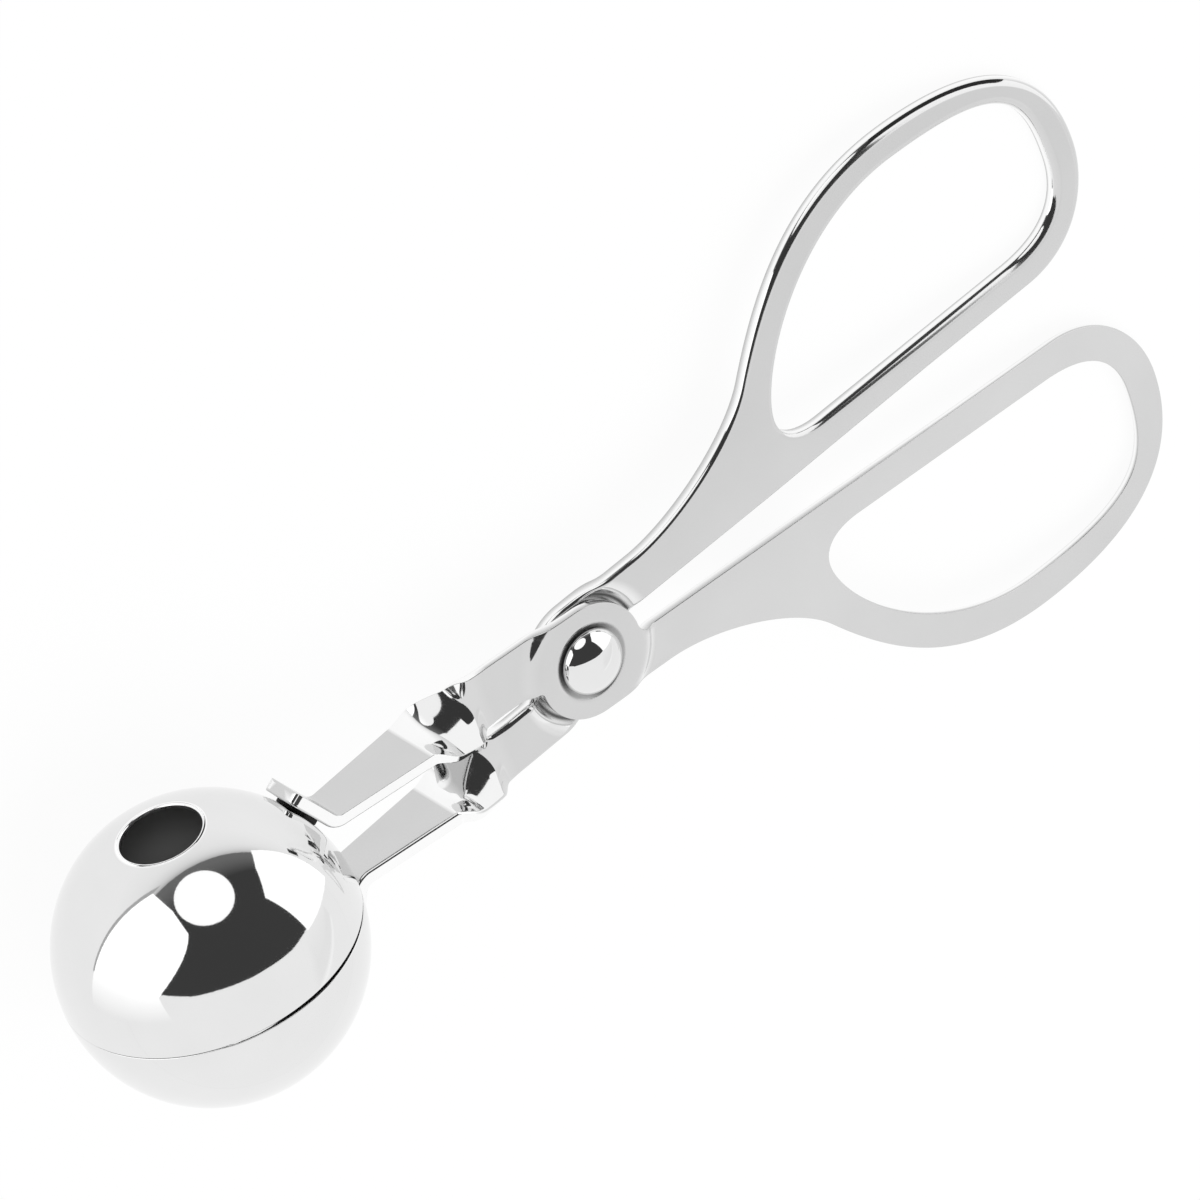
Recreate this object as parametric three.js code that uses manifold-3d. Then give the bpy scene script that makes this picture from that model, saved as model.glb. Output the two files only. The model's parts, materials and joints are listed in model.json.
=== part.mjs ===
// Stainless scissor tongs that press a meatball between two hemispherical cups.
// Millimetres. The tongs are drawn flat first: origin on the pivot axis half-way between the levers,
// +X toward the finger loops, +Y toward the first cup, +Z along the rivet toward its domed head.
// At the end they are tipped so that they lie on the ball and on both finger loops, as on a table.
import * as THREE from 'three';
import { mergeVertices } from 'three/addons/utils/BufferGeometryUtils.js';
import Module from 'manifold-3d';

// Sheet and running clearances
const SHEET = 2.0;              // thickness of the stamped lever
const PIVOT_GAP = 0.3;          // between the two pivot discs
const SEAT_GAP = 0.3;           // where a fixed piece sits on its neighbour
const SHANK_GAP = 0.3;          // round the rivet's shank

// Ball
const BALL_RADIUS = 23.0;       // outside of the cups
const CUP_WALL = 0.8;
const RIM_GAP = 0.3;            // between the two rims when the tongs are shut
const VENT_RADIUS = 6.2;        // round hole at the pole of each cup
const BALL_REACH = 72.4;        // pivot to the middle of the ball
const BALL_RISE = 1.6;          // middle of the ball above the middle of the levers, toward the rivet head

// Pivot disc, with the step that lets arms and loops lie in one plane
const DISC_RADIUS = 9.1;
const STEP_START = 10.35;       // radius where the top face starts to slope
const STEP_RUN = 1.45;          // radial length of the slope
const STEP_ROUND = 0.6;         // softening of the step's edges
const DISH_RADIUS = 6.4;        // pressed seat round the rivet head
const DISH_SLOPE = 1.0;         // radial width of the seat's sloping edge
const DISH_DEPTH = 0.45;

// Rivet
const SHANK_RADIUS = 3.0;
const HEAD_RADIUS = 5.0;
const HEAD_SKIRT = 0.35;        // straight edge under the dome
const HEAD_DOME = 2.3;          // height of the dome above that edge

// Arm from the disc to the cup
const ARM_WIDTH = 9.0;          // where the twist starts
const ARM_GAP = 1.9;            // between the two arms where the twist starts
const ARM_GAP_AT_DISC = 1.3;    // between the two arms beside the disc
const ARM_NOTCH_RADIUS = 0.8;   // inside corner between the disc and the arm
const TWIST_START = 15.5;       // distance from the pivot
const TWIST_LENGTH = 15.0;
const KINK_AT = 3.4;            // from the twist's start to the sharper turn at the jaws of the twisting tool
const KINK_LENGTH = 2.2;
const KINK_TURN = 32;           // degrees of the quarter turn made there
const END_KINK_LENGTH = 1.6;    // second, smaller sharp turn, just before the strip
const END_KINK_TURN = 16;
const STRIP_SIDE = 5.7;         // middle line of the tongs to the middle of the strip
const STRIP_WIDTH = 11.2;       // just past the twist
const FLANGE_WIDTH = 7.8;       // end that is welded to the cup
const FLANGE_TILT = 29;         // degrees that the flange leans back on the ball
const FLANGE_PAST = 2.3;        // flange beyond the point where it touches the ball
const FLANGE_CORNER = 1.2;      // rounded corners of the flange's end
const BEND_RADIUS = 2.6;        // middle of the sheet

// Finger loop
const LOOP_GAP_AT_DISC = 4.0;   // between the two levers beside the disc
const LOOP_GAP_AT_END = 10.8;   // between the two levers where the loop's end starts to round
const LOOP_STRAIGHT = 90.6;     // pivot to the end of the straight inner bar
const LOOP_END = 106.0;         // pivot to the tip of the loop
const LOOP_END_SIDE = 22.4;     // how far off the middle line the tip lies
const LOOP_BOW = 45.4;          // middle line to the outside of the bowed bar
const LOOP_BOW_AT = 75.6;       // pivot to the widest point of the bow
const LOOP_BAR = 5.4;           // width of the bar round the finger hole
const LOOP_HOLE_START = 41.8;   // pivot to the near end of the finger hole
const LOOP_HOLE_SIDE = 15.0;    // how far off the middle line that near end lies
const NECK_AT = 39.6;           // pivot to where the outer edge swings out to the bow
const NECK_SIDE = 23.2;
const NECK_ANGLE = 55.5;        // degrees that the edge leans out there
const SHANK_AT = 12.6;          // pivot to where the straight shank ends
const SHANK_SIDE = 9.6;
const NOTCH_RADIUS = 2.4;       // inside corner between the disc and the inner bar

// Facets
const OUTLINE_STEPS = 14;
const TURN_STEPS = 64;
const CUP_TURN = 56;
const CUP_RINGS = 11;

const wasm = await Module();
wasm.setup();

// Boolean helpers: three.js geometry in, three.js geometry out.
function solid(geometry) {
  const bare = geometry.clone();
  bare.deleteAttribute('normal');
  bare.deleteAttribute('uv');
  const merged = mergeVertices(bare, 1e-4);
  return new wasm.Manifold(new wasm.Mesh({
    numProp: 3,
    vertProperties: new Float32Array(merged.attributes.position.array),
    triVerts: new Uint32Array(merged.index.array),
  }));
}

function geometryOf(manifold) {
  const mesh = manifold.getMesh();
  const geometry = new THREE.BufferGeometry();
  geometry.setAttribute('position', new THREE.BufferAttribute(new Float32Array(mesh.vertProperties), 3));
  geometry.setIndex(new THREE.BufferAttribute(new Uint32Array(mesh.triVerts), 1));
  geometry.computeVertexNormals();
  return geometry;
}

// Closed skin over rings of equal length, capped flat at both ends.
function loft(rings) {
  const count = rings[0].length;
  const position = rings.flat().flatMap((p) => [p.x, p.y, p.z]);
  const index = [];
  for (let r = 0; r + 1 < rings.length; r += 1) {
    for (let i = 0; i < count; i += 1) {
      const a = r * count + i;
      const b = r * count + (i + 1) % count;
      index.push(a, b + count, b, a, a + count, b + count);
    }
  }
  const last = (rings.length - 1) * count;
  for (let i = 1; i + 1 < count; i += 1) {
    index.push(0, i, i + 1);
    index.push(last, last + i + 1, last + i);
  }
  const geometry = new THREE.BufferGeometry();
  geometry.setAttribute('position', new THREE.Float32BufferAttribute(position, 3));
  geometry.setIndex(index);
  return geometry;
}

const polar = (radius, angle) => new THREE.Vector2(radius * Math.cos(angle), radius * Math.sin(angle));
const smooth = (u) => u * u * (3 - 2 * u);
const rad = THREE.MathUtils.degToRad;

// Angle of the point where a line from p touches the disc, turning counter-clockwise from p.
function touchAngle(p) {
  return Math.atan2(p.y, p.x) + Math.acos(DISC_RADIUS / p.length());
}

// Edges of the arm where the twist starts, and of the loop's straight inner bar
const armNear = ARM_GAP / 2;
const armFar = armNear + ARM_WIDTH;
const armMiddle = armNear + ARM_WIDTH / 2;
const barSlope = (LOOP_GAP_AT_END - LOOP_GAP_AT_DISC) / 2 / (LOOP_STRAIGHT - DISC_RADIUS);
const barEdge = (x) => LOOP_GAP_AT_DISC / 2 + barSlope * (x - DISC_RADIUS);
const armSlope = (ARM_GAP - ARM_GAP_AT_DISC) / 2 / (TWIST_START - DISC_RADIUS);
const armEdge = (x) => ARM_GAP_AT_DISC / 2 + armSlope * (x - DISC_RADIUS);
const armCorner = new THREE.Vector2(-TWIST_START, -armFar);
const armFoot = polar(DISC_RADIUS, touchAngle(armCorner));

// Middle of the rounded inside corner that touches both the disc and an edge running out from it.
function notchCentre(edge, slope, radius) {
  const along = new THREE.Vector2(1, slope).normalize();
  const start = new THREE.Vector2(0, edge(0)).addScaledVector(new THREE.Vector2(along.y, -along.x), radius);
  const back = start.dot(along);
  const reach = Math.sqrt(back * back - start.lengthSq() + (DISC_RADIUS + radius) ** 2);
  return start.addScaledVector(along, reach - back);
}

// Stamped outline drawn from below: arm on -Y, disc, finger loop on +Y.
function leverOutline() {
  const shank = new THREE.Vector2(SHANK_AT, SHANK_SIDE);
  const shankTouch = touchAngle(shank);
  const shankWay = shank.clone().sub(polar(DISC_RADIUS, shankTouch)).normalize();
  const notch = notchCentre(barEdge, barSlope, NOTCH_RADIUS);
  const notchAngle = Math.atan2(notch.y, notch.x);
  const near = notchCentre(armEdge, armSlope, ARM_NOTCH_RADIUS).negate();
  const nearAngle = Math.atan2(near.y, near.x) + (near.y < 0 ? 2 * Math.PI : 0);
  const neckWay = polar(1, rad(NECK_ANGLE));
  const shape = new THREE.Shape();
  shape.moveTo(armCorner.x, armCorner.y);
  shape.lineTo(armFoot.x, armFoot.y);
  shape.absarc(0, 0, DISC_RADIUS, touchAngle(armCorner), notchAngle, false);
  shape.absarc(notch.x, notch.y, NOTCH_RADIUS, notchAngle + Math.PI, Math.PI / 2 + Math.atan(barSlope), true);
  shape.lineTo(LOOP_STRAIGHT, barEdge(LOOP_STRAIGHT));
  const endRun = LOOP_END - LOOP_STRAIGHT;
  const endRise = LOOP_END_SIDE - barEdge(LOOP_STRAIGHT);
  shape.bezierCurveTo(
    LOOP_STRAIGHT + 0.655 * endRun, barEdge(LOOP_STRAIGHT + 0.655 * endRun),
    LOOP_END, LOOP_END_SIDE - 0.475 * endRise,
    LOOP_END, LOOP_END_SIDE,
  );
  shape.bezierCurveTo(
    LOOP_END, LOOP_END_SIDE + 0.64 * (LOOP_BOW - LOOP_END_SIDE),
    LOOP_BOW_AT + 0.665 * (LOOP_END - LOOP_BOW_AT), LOOP_BOW,
    LOOP_BOW_AT, LOOP_BOW,
  );
  const bowReach = 0.39 * (LOOP_BOW_AT - NECK_AT);
  shape.bezierCurveTo(
    LOOP_BOW_AT - 0.5 * (LOOP_BOW_AT - NECK_AT), LOOP_BOW,
    NECK_AT + bowReach * neckWay.x, NECK_SIDE + bowReach * neckWay.y,
    NECK_AT, NECK_SIDE,
  );
  const neckReach = 0.32 * (NECK_AT - SHANK_AT);
  shape.bezierCurveTo(
    NECK_AT - neckReach * neckWay.x, NECK_SIDE - neckReach * neckWay.y,
    SHANK_AT + neckReach * shankWay.x, SHANK_SIDE + neckReach * shankWay.y,
    SHANK_AT, SHANK_SIDE,
  );
  shape.absarc(0, 0, DISC_RADIUS, shankTouch, nearAngle, false);
  shape.absarc(near.x, near.y, ARM_NOTCH_RADIUS, nearAngle + Math.PI, 1.5 * Math.PI + Math.atan(armSlope), true);
  shape.lineTo(-TWIST_START, -armNear);
  shape.closePath();
  shape.holes.push(fingerHole());
  return shape;
}

// Rounded D inside the loop, one bar's width in from the outline.
function fingerHole() {
  const inner = (x) => barEdge(x) + LOOP_BAR;
  const end = LOOP_END - LOOP_BAR;
  const bow = LOOP_BOW - LOOP_BAR;
  const flatEnd = LOOP_STRAIGHT - 0.55 * LOOP_BAR;
  const flatStart = LOOP_HOLE_START + 1.38 * LOOP_BAR;
  const turnEnd = flatEnd + 0.45 * (end - flatEnd);
  const turnStart = flatStart - 0.3 * (flatStart - LOOP_HOLE_START);
  const hole = new THREE.Path();
  hole.moveTo(flatStart, inner(flatStart));
  hole.lineTo(flatEnd, inner(flatEnd));
  hole.bezierCurveTo(
    turnEnd, inner(turnEnd),
    end, LOOP_END_SIDE - 0.8 * (LOOP_END_SIDE - inner(flatEnd)),
    end, LOOP_END_SIDE,
  );
  hole.bezierCurveTo(
    end, LOOP_END_SIDE + 0.72 * (bow - LOOP_END_SIDE),
    LOOP_BOW_AT + 0.84 * (end - LOOP_BOW_AT), bow,
    LOOP_BOW_AT, bow,
  );
  hole.bezierCurveTo(
    LOOP_BOW_AT - 0.68 * (LOOP_BOW_AT - LOOP_HOLE_START), bow,
    LOOP_HOLE_START, LOOP_HOLE_SIDE + 0.11 * (bow - LOOP_HOLE_SIDE),
    LOOP_HOLE_START, LOOP_HOLE_SIDE,
  );
  hole.bezierCurveTo(
    LOOP_HOLE_START, LOOP_HOLE_SIDE - 0.45 * (LOOP_HOLE_SIDE - inner(LOOP_HOLE_START)),
    turnStart, inner(turnStart),
    flatStart, inner(flatStart),
  );
  return hole;
}

// Pressed sheet as a body of revolution: disc lifted over its partner, then the step down to the arms.
const discLow = PIVOT_GAP / 2;
const discHigh = discLow + SHEET;
const stepTurn = Math.atan2(discHigh - SHEET / 2, STEP_RUN);
const stepShift = SHEET * Math.tan(stepTurn / 2);

function pressedSheet() {
  const reach = LOOP_END + LOOP_BOW;
  const corners = [
    [SHANK_RADIUS + SHANK_GAP, discLow, 0],
    [STEP_START - stepShift, discLow, STEP_ROUND],
    [STEP_START - stepShift + STEP_RUN, -SHEET / 2, STEP_ROUND],
    [reach, -SHEET / 2, 0],
    [reach, SHEET / 2, 0],
    [STEP_START + STEP_RUN, SHEET / 2, STEP_ROUND],
    [STEP_START, discHigh, STEP_ROUND],
    [DISH_RADIUS, discHigh, 0],
    [DISH_RADIUS - DISH_SLOPE, discHigh - DISH_DEPTH, 0],
    [SHANK_RADIUS + SHANK_GAP, discHigh - DISH_DEPTH, 0],
  ];
  const profile = roundedProfile(corners);
  const sheet = new THREE.LatheGeometry([...profile, profile[0]], TURN_STEPS);
  sheet.rotateX(Math.PI / 2);
  return sheet;
}

// Turns corners given as [radius, height, softening] into a profile, each soft corner as a short curve.
function roundedProfile(corners) {
  const points = [];
  corners.forEach(([x, y, soft], i) => {
    const here = new THREE.Vector2(x, y);
    if (soft === 0) {
      points.push(here);
      return;
    }
    const [px, py] = corners[(i + corners.length - 1) % corners.length];
    const [nx, ny] = corners[(i + 1) % corners.length];
    const into = new THREE.Vector2(px, py).sub(here).setLength(soft).add(here);
    const out = new THREE.Vector2(nx, ny).sub(here).setLength(soft).add(here);
    points.push(...new THREE.QuadraticBezierCurve(into, here, out).getPoints(3));
  });
  return points;
}

// Turn of the sheet at a distance along the twist: steady, with a sharper turn at each of the tool's jaws.
function twistTurn(distance) {
  const share = (start, length) => smooth(THREE.MathUtils.clamp((distance - start) / length, 0, 1));
  const steady = 90 - KINK_TURN - END_KINK_TURN;
  return rad(
    steady * distance / TWIST_LENGTH
    + KINK_TURN * share(KINK_AT, KINK_LENGTH)
    + END_KINK_TURN * share(TWIST_LENGTH - END_KINK_LENGTH, END_KINK_LENGTH),
  );
}

// One section of the arm: width and thickness turned about the arm's own line by turn,
// in a plane square to the direction of travel (a unit vector in the XY plane).
function armRing(x, y, width, turn, way) {
  const side = new THREE.Vector3(way.y, -way.x, 0);
  const up = new THREE.Vector3(0, 0, 1);
  const across = side.clone().multiplyScalar(Math.cos(turn)).addScaledVector(up, -Math.sin(turn));
  const through = side.clone().multiplyScalar(Math.sin(turn)).addScaledVector(up, Math.cos(turn));
  const middle = new THREE.Vector3(x, y, 0);
  const corner = (w, t) => middle.clone().addScaledVector(across, w * width / 2).addScaledVector(through, t * SHEET / 2);
  return [corner(1, 1), corner(-1, 1), corner(-1, -1), corner(1, -1)];
}

// Arm past the disc: flat, then a quarter twist, a tapering strip, and a flange bent out onto the cup.
function twistedArm() {
  const rings = [];
  const forward = new THREE.Vector2(-1, 0);
  const lap = 2.0;
  const farSlope = (armFar + armFoot.y) / (TWIST_START + armFoot.x);
  const lapNear = armNear - armSlope * lap;
  const lapFar = armFar - farSlope * lap;
  rings.push(armRing(-TWIST_START + lap, (lapNear + lapFar) / 2, lapFar - lapNear, 0, forward));
  const twistRings = 30;
  for (let i = 0; i <= twistRings; i += 1) {
    const u = i / twistRings;
    const width = THREE.MathUtils.lerp(ARM_WIDTH, STRIP_WIDTH, smooth(u));
    const y = THREE.MathUtils.lerp(armMiddle, STRIP_SIDE, smooth(u));
    rings.push(armRing(-TWIST_START - u * TWIST_LENGTH, y, width, twistTurn(u * TWIST_LENGTH), forward));
  }
  const tilt = rad(FLANGE_TILT);
  const outward = polar(1, tilt);
  const climb = new THREE.Vector2(-outward.y, outward.x);
  const plate = BALL_RADIUS + SEAT_GAP + SHEET / 2;
  const foot = outward.clone().multiplyScalar(plate).add(new THREE.Vector2(-BALL_REACH, 0));
  const corner = foot.clone().addScaledVector(climb, (STRIP_SIDE - foot.y) / climb.y);
  const bend = Math.PI / 2 - tilt;
  const setback = BEND_RADIUS * Math.tan(bend / 2);
  const bendX = corner.x + setback;
  const centre = new THREE.Vector2(bendX, STRIP_SIDE + BEND_RADIUS);
  const bendRings = 8;
  for (let i = 0; i <= bendRings; i += 1) {
    const angle = bend * i / bendRings;
    const way = new THREE.Vector2(-Math.cos(angle), Math.sin(angle));
    const at = centre.clone().add(new THREE.Vector2(-Math.sin(angle), -Math.cos(angle)).multiplyScalar(BEND_RADIUS));
    rings.push(armRing(at.x, at.y, FLANGE_WIDTH, Math.PI / 2, way));
  }
  const cornerRings = 4;
  for (let i = 0; i <= cornerRings; i += 1) {
    const angle = Math.PI / 2 * i / cornerRings;
    const at = foot.clone().addScaledVector(climb, FLANGE_PAST - FLANGE_CORNER * (1 - Math.sin(angle)));
    rings.push(armRing(at.x, at.y, FLANGE_WIDTH - 2 * FLANGE_CORNER * (1 - Math.cos(angle)), Math.PI / 2, climb));
  }
  return loft(rings);
}

function leverGeometry() {
  const height = 4 * SHEET;
  const blank = new THREE.ExtrudeGeometry(leverOutline(), {
    depth: height, bevelEnabled: false, curveSegments: OUTLINE_STEPS,
  });
  blank.translate(0, 0, -height / 2);
  blank.rotateX(Math.PI);
  const flat = solid(blank).intersect(solid(pressedSheet()));
  return geometryOf(flat.add(solid(twistedArm())));
}

// Thin half ball with its rim just off the parting plane and a vent at the pole.
function cupGeometry() {
  const inside = BALL_RADIUS - CUP_WALL;
  const rim = RIM_GAP / 2;
  const arc = (radius) => {
    const low = Math.asin(rim / radius);
    const high = Math.acos(VENT_RADIUS / radius);
    return Array.from({ length: CUP_RINGS + 1 }, (_, i) => polar(radius, low + (high - low) * i / CUP_RINGS));
  };
  const outer = arc(BALL_RADIUS);
  const profile = [...outer, ...arc(inside).reverse(), outer[0]];
  return new THREE.LatheGeometry(profile, CUP_TURN);
}

// Rivet with a domed head on each side of the stacked discs.
function rivetGeometry() {
  const under = discHigh - DISH_DEPTH + SEAT_GAP;
  const skirt = under + HEAD_SKIRT;
  const ball = (HEAD_RADIUS * HEAD_RADIUS + HEAD_DOME * HEAD_DOME) / (2 * HEAD_DOME);
  const half = Math.asin(HEAD_RADIUS / ball);
  const middle = skirt + HEAD_DOME - ball;
  const steps = 7;
  const dome = Array.from({ length: steps + 1 }, (_, i) => {
    const angle = half * (1 - i / steps);
    return new THREE.Vector2(i === steps ? 0 : ball * Math.sin(angle), middle + ball * Math.cos(angle));
  });
  const upper = [
    new THREE.Vector2(SHANK_RADIUS, under),
    new THREE.Vector2(HEAD_RADIUS, under),
    ...dome,
  ];
  const lower = upper.map((p) => new THREE.Vector2(p.x, -p.y)).reverse();
  const rivet = new THREE.LatheGeometry([...lower, ...upper], 36);
  rivet.rotateX(Math.PI / 2);
  return rivet;
}

const brushed = { color: 0xd2d2d2, metalness: 1, roughness: 0.26 };
const mirror = { color: 0xe4e4e4, metalness: 1, roughness: 0.08 };

function piece(name, geometry, look) {
  const mesh = new THREE.Mesh(geometry, new THREE.MeshStandardMaterial(look));
  mesh.name = name;
  return mesh;
}

// The second lever and cup are the same pressings turned over about the long axis.
const tongs = new THREE.Group();
const lever = leverGeometry();
const cup = cupGeometry();
const frontLever = piece('front_lever', lever, brushed);
const backLever = piece('back_lever', lever.clone(), brushed);
const upperCup = piece('upper_cup', cup, mirror);
const lowerCup = piece('lower_cup', cup.clone(), mirror);
backLever.rotation.x = Math.PI;
upperCup.position.set(-BALL_REACH, 0, BALL_RISE);
lowerCup.position.copy(upperCup.position);
lowerCup.rotation.x = Math.PI;
tongs.add(frontLever, backLever, upperCup, lowerCup, piece('pivot_rivet', rivetGeometry(), mirror));

// Lie on the ball and on the lower edge of both loops' tips, centred over the origin.
const tipDrop = SHEET / 2 + BALL_RISE;
const span = LOOP_END + BALL_REACH;
tongs.rotation.y = Math.asin(BALL_RADIUS / Math.hypot(span, tipDrop)) - Math.atan2(tipDrop, span);
const object = new THREE.Group();
object.add(tongs);
object.updateMatrixWorld(true);
const box = new THREE.Box3().setFromObject(object, true);
const middle = box.getCenter(new THREE.Vector3());
tongs.position.set(-middle.x, -middle.y, -box.min.z);

export default object;
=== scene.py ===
"""Studio shot of stainless scissor tongs that press a meatball between two vented half-ball cups."""
import json
import math

import bmesh
import bpy
import numpy as np
from mathutils import Matrix, Vector
from mathutils.geometry import delaunay_2d_cdt


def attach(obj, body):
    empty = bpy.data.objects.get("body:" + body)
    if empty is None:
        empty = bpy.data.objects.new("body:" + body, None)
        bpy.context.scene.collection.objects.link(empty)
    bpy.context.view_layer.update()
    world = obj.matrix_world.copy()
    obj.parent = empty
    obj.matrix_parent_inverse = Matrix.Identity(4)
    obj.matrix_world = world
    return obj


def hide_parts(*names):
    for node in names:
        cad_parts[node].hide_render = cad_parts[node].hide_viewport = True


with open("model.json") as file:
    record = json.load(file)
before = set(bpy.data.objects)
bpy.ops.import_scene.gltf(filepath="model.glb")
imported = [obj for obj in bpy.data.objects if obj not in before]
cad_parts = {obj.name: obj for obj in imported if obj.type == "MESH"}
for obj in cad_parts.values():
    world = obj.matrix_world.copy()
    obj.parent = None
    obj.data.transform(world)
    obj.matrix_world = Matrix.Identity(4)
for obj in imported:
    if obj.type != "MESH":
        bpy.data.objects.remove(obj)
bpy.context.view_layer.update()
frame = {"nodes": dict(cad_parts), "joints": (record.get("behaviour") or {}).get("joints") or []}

# Sizes of the pressed and formed pieces, in millimetres in the tongs' own flat frame: origin on the pivot
# axis half-way between the levers, +X to the loops, +Y to the upper cup, +Z to the rivet head
SHEET = 2.0
PIVOT_GAP = 0.3
SEAT_GAP = 0.3
SHANK_GAP = 0.3
BALL_RADIUS = 23.0
CUP_WALL = 0.8
VENT_RADIUS = 6.2
BALL_REACH = 72.4
BALL_RISE = 1.6
DISC_RADIUS = 9.1
STEP_START = 10.35
STEP_RUN = 1.45
STEP_ROUND = 0.9
DISH_RADIUS = 6.15
DISH_SLOPE = 0.75
DISH_DEPTH = 0.45
DISH_ROUND = 0.3
SHANK_RADIUS = 3.0
HEAD_RADIUS = 5.2
HEAD_SKIRT = 0.3
HEAD_DOME = 2.9
HEAD_FULLNESS = 0.68
ARM_WIDTH = 9.0
ARM_GAP = 1.9
ARM_GAP_AT_DISC = 1.3
TWIST_START = 15.5
TWIST_LENGTH = 15.0
KINK_AT = 3.2
KINK_LENGTH = 3.4
KINK_TURN = 36
KINK_DROP = 1.1             # how far the front sheet is pressed in at the sharp bend
KINK_LIFT = 0.35            # and the back sheet out, both away from the face that shows
END_KINK_LENGTH = 5.0
END_KINK_TURN = 20
STRIP_SIDE = 5.7
STRIP_WIDTH = 11.2
FLANGE_WIDTH = 7.8
FLANGE_TILT = 29
FLANGE_PAST = 2.3
FLANGE_CORNER = 1.2
BEND_RADIUS = 2.6
LOOP_GAP_AT_DISC = 4.0
LOOP_GAP_AT_END = 10.8
LOOP_STRAIGHT = 90.6
LOOP_END = 106.0
LOOP_END_SIDE = 22.4
LOOP_BOW = 45.4
LOOP_BOW_AT = 75.6
LOOP_BAR = 5.4
LOOP_HOLE_START = 42.7
LOOP_HOLE_SIDE = 14.0
NECK_AT = 39.6
NECK_SIDE = 23.2
NECK_ANGLE = 55.5
SHANK_AT = 12.6
SHANK_SIDE = 9.6
NOTCH_RADIUS = 2.4
ARM_NOTCH_RADIUS = 0.8
CUP_RIM_ROUND = 0.14
CUP_VENT_ROUND = 0.3
CUP_MEET = 0.05             # half the gap where the rims all but meet
CUP_RELIEF = 0.25           # how far each rim falls short near the arms, at most
CRISP = 0.1                 # rounding of the stamped edges on the upper face
LOOP_ROLL = 1.45            # and on the lower face, where the die draws the sheet in: round the loop,
SHANK_ROLL = 0.8            # on the shank,
ARM_ROLL = 1.1              # on the arm
STRIP_ROLL = 0.55           # and past the twist
EDGE_SHADE = 0.75                 # how far painted shade darkens the wall next to the crisp edge, drawing a dark line along it
EDGE_SHADE_END = 0.15             # share of the twist after which that painted shade has faded from the wall
END_ROUND = 0.35
TWIST_HIGHLIGHT_FROM = 0.73            # share of the twist after which it takes the bright edge tone, a painted highlight
EDGE_STEPS = 7

# Handles of the loop's outer curves, as shares of the way between their ends
STRAIGHT_HANDLE = 0.655
END_HANDLE_BEFORE = 0.475
END_HANDLE_AFTER = 0.64
BOW_HANDLE_BEFORE = 0.665
BOW_HANDLE_AFTER = 0.5
NECK_HANDLE_BEFORE = 0.39
NECK_HANDLE_AFTER = 0.32

# And of the finger hole's, whose straight starts and stops by bar widths from the loop's own points
HOLE_FLAT_START = 1.38
HOLE_FLAT_END = 0.55
HOLE_FLAT_HANDLE = 0.45
HOLE_END_BEFORE = 0.8
HOLE_END_AFTER = 0.72
HOLE_BOW_BEFORE = 0.84
HOLE_BOW_AFTER = 0.62
HOLE_NEAR_BEFORE = 0.27
HOLE_NEAR_AFTER = 0.65
HOLE_TURN = 0.6

# Spacing of points, finer near the pivot, where the sheet is stepped
CURVE_STEP = 0.05
FINE_GAP = 0.22
COARSE_GAP = 0.7
CLOSING_GAP = 0.3
FINE_REACH = 14.5
SOFT_POINTS = 13
PROFILE_END = 200.0
DISH_RINGS = (4.9, 6.95, 0.14)
STEP_RINGS = (8.9, 12.8, 0.13)
RING_SPACING = 0.42
RING_CLEARANCE = 0.16
RING_REACH = 16
BORE_POINTS = 72
CUT_COUNT = 25
TWIST_STATIONS = 120
STRIP_STATIONS = 26
BEND_STATIONS = 19
END_STATIONS = 15

# Places along the lever where the rolled edge changes, and the share of the twist where it fades
ROLL_PLACES = (-8, 5, 38, 70)
ROLL_FADE = 0.5
LEAST_ROUND = 0.02

# Black wedge under each flange, painted shade in the gap between flange and ball: middle along the flange,
# half sizes, and how deep it bites
SHADE_WEDGE_ALONG = -2.2
SHADE_WEDGE_HALF_LENGTH = 2.0
SHADE_WEDGE_HALF_WIDTH = 3.62
SHADE_WEDGE_BITE = 0.02

# Where the cup's rim falls short: height it fades over, and degrees round the ball
RELIEF_HEIGHT = 1.5
RELIEF_START = -35
RELIEF_START_RUN = 30
RELIEF_END = 122
RELIEF_END_RUN = 6
RELIEF_PEAK = 80
RELIEF_SPREAD = 40
RELIEF_LEAST = 0.45

# Finishes: an edge by how far its normal leans out of the sheet, the twist by its share, the rest by distance
RUBBED_FROM, RUBBED_RUN = 0.45, 0.3
TUMBLED_FROM, TUMBLED_RUN = 0.8, 0.15
TWIST_RUB_FROM, TWIST_RUB_RUN = 0.1, 0.1
# Painted highlight on the pressed step; painted shade in the dish under the rivet head and in the crevice
# round the disc
STEP_BRIGHT = 0.6
STEP_BRIGHT_RUN = 3
DISH_FADE = 0.2
CREVICE_OUT = 0.55
CREVICE_HALF = 0.5
CREVICE_DARK = 2.6

# The tongs' flat frame in the row frame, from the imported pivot
pivot = frame["joints"][0]
axis = Vector(pivot["axis"])
TO_ROW = (
    Matrix.Translation(Vector(pivot["pos_m"]))
    @ Matrix.Rotation(math.atan2(axis.x, axis.z), 4, "Y")
    @ Matrix.Scale(0.001, 4)
)
TURN_OVER = Matrix.Rotation(math.pi, 4, "X")


# Plane curves
def polar(radius, angle):
    return np.array([radius * math.cos(angle), radius * math.sin(angle)])


def line(p, q):
    n = max(2, int(np.hypot(*(np.subtract(q, p))) / CURVE_STEP))
    return np.asarray(p) + np.linspace(0, 1, n)[:, None] * np.subtract(q, p)


def arc(centre, radius, start, end):
    n = max(3, int(abs(end - start) * radius / CURVE_STEP))
    a = np.linspace(start, end, n)
    return np.asarray(centre) + radius * np.column_stack([np.cos(a), np.sin(a)])


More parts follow.
